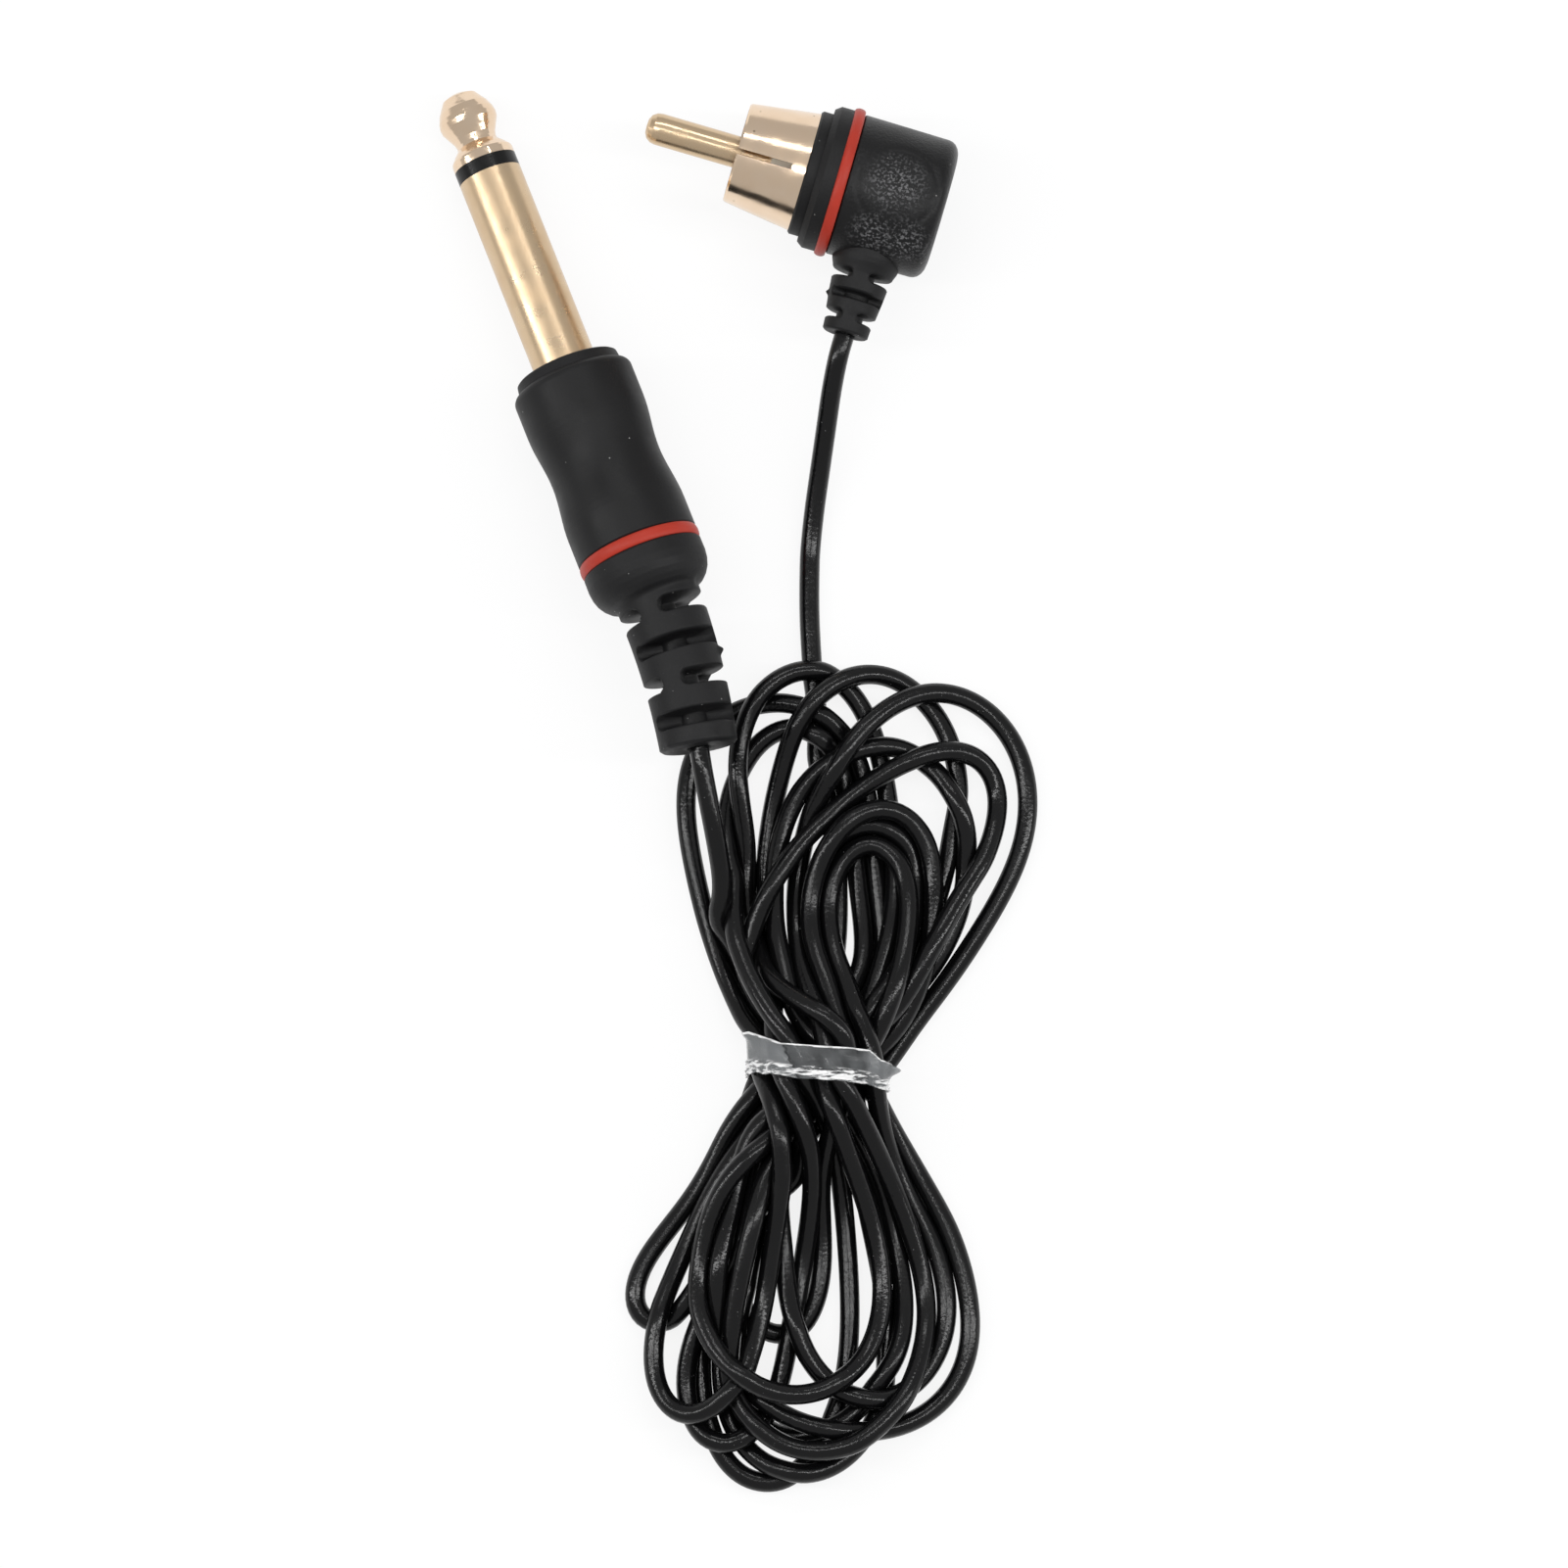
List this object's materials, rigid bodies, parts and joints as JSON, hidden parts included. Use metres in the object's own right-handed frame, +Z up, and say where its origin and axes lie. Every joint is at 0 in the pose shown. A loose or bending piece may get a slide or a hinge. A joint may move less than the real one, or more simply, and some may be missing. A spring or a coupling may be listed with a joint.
{
  "type": "instrument cable",
  "caption": "Thin shielded cable in a taped hank, with a straight quarter-inch mono plug at one end and a right-angle phono plug at the other.",
  "frame": {"origin": "centre of the bounding box of the two plugs, on the surface that the cable lies on", "axes": "+Z up; +Y from the hank towards the plugs' tips; +X to the right, towards the back of the right-angle plug"},
  "size_m": [0.0604, 0.1398, 0.0152],
  "materials": {
    "plug_gold": "gold plated, polished",
    "solder_brass": "stamped, satin",
    "soft_black": "satin soft-touch moulding",
    "boot_black": "matt moulded vinyl",
    "band_black": "moulded, glossy",
    "ring_red": "moulded, satin",
    "insulator_white": "moulded, satin",
    "washer_fibre": "pressed fibre",
    "cord_black": "extruded vinyl, glossy",
    "core_white": "extruded insulation",
    "tinned_copper": "tinned, twisted",
    "tape_clear": "clear adhesive tape"
  },
  "bodies": {
    "root": {"jack_tip": "plug_gold", "jack_insulator": "band_black", "jack_sleeve": "plug_gold", "jack_sleeve_lug": "solder_brass", "jack_washer": "washer_fibre", "jack_tip_lug": "solder_brass", "jack_inner_mould": "boot_black", "jack_grip": "soft_black", "jack_ring": "ring_red", "jack_boot": "boot_black", "jack_jacket_end": "cord_black", "jack_core_wire": "core_white", "jack_screen_tail": "tinned_copper", "jack_solder": "tinned_copper", "phono_pin": "plug_gold", "phono_insulator": "insulator_white", "phono_shell": "plug_gold", "phono_ground_lug": "solder_brass", "phono_inner_mould": "boot_black", "phono_ring": "ring_red", "phono_body": "soft_black", "phono_relief": "boot_black", "phono_jacket_end": "cord_black", "phono_core_wire": "core_white", "phono_screen_tail": "tinned_copper", "phono_solder": "tinned_copper", "jack_lead": "cord_black", "hank": "cord_black", "phono_lead": "cord_black", "hank_tape": "tape_clear"}
  },
  "joints": []
}
